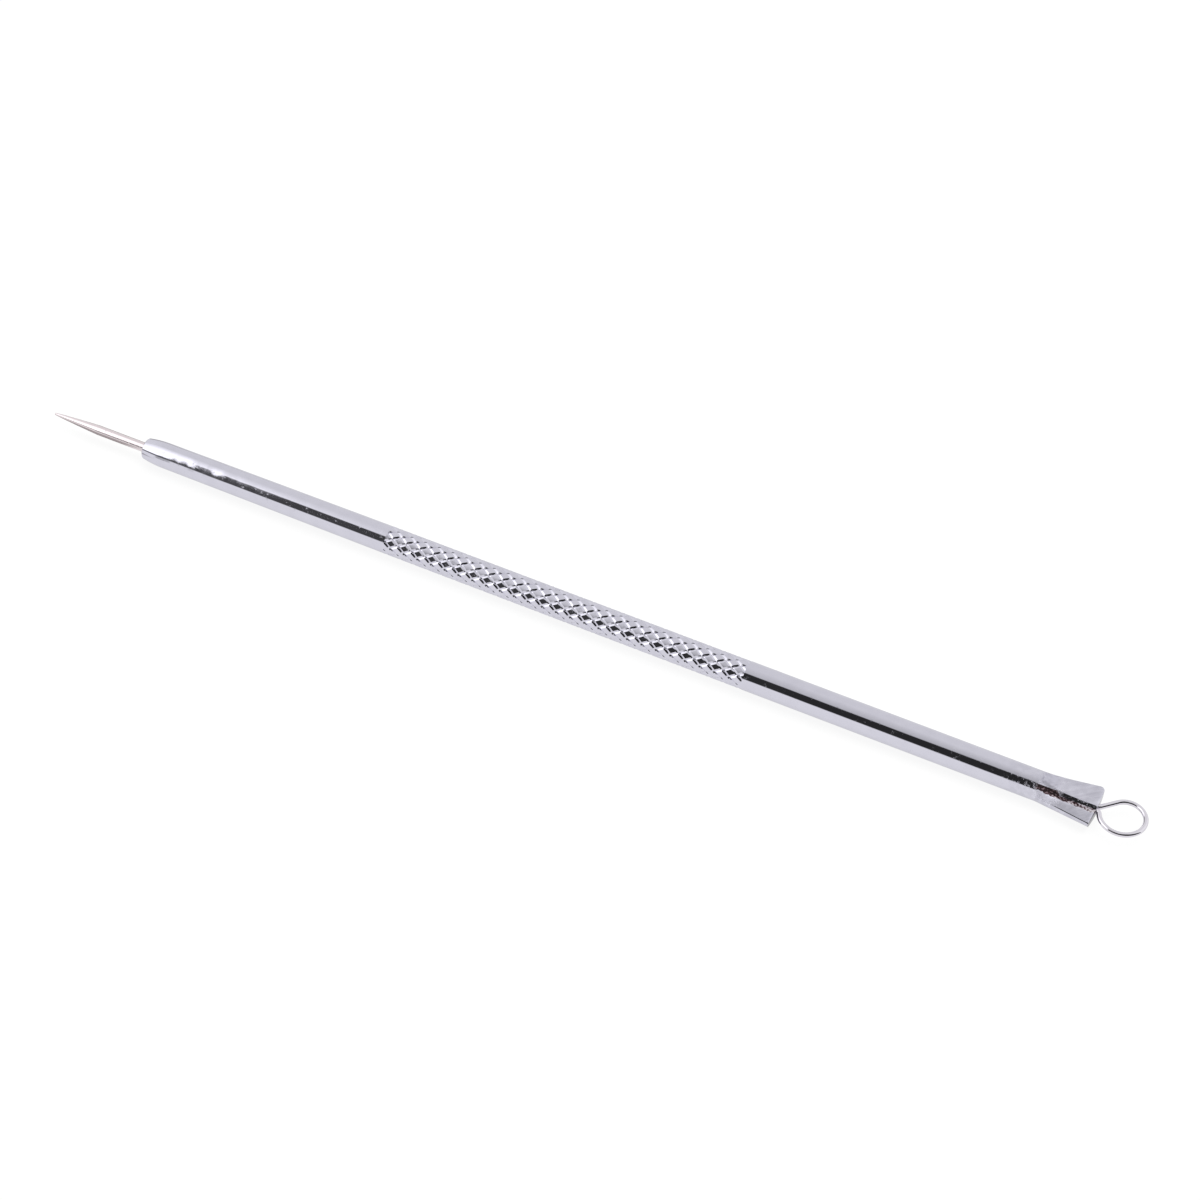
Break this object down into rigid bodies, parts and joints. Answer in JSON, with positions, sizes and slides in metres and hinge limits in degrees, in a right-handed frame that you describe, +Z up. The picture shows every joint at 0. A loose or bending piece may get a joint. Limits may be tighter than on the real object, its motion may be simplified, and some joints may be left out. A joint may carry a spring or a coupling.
{
  "type": "blackhead extractor",
  "caption": "Slim double-ended skin tool: round handle with a diamond-knurled grip, a lancet needle in the nose and a wire loop crimped into the flattened tail.",
  "frame": {"origin": "on the axis of the handle, halfway between the tip of the needle and the far end of the loop", "axes": "+X along the handle from the needle to the loop, +Y across the handle in the plane of the loop, +Z up, square to the plane of the loop"},
  "size_m": [0.1225, 0.0045, 0.003],
  "materials": {
    "handle": "bright plated steel, lightly rubbed",
    "needle": "ground and polished steel",
    "wire_loop": "bright drawn wire"
  },
  "bodies": {
    "root": {"handle": "handle", "needle": "needle", "wire_loop": "wire_loop"}
  },
  "joints": []
}
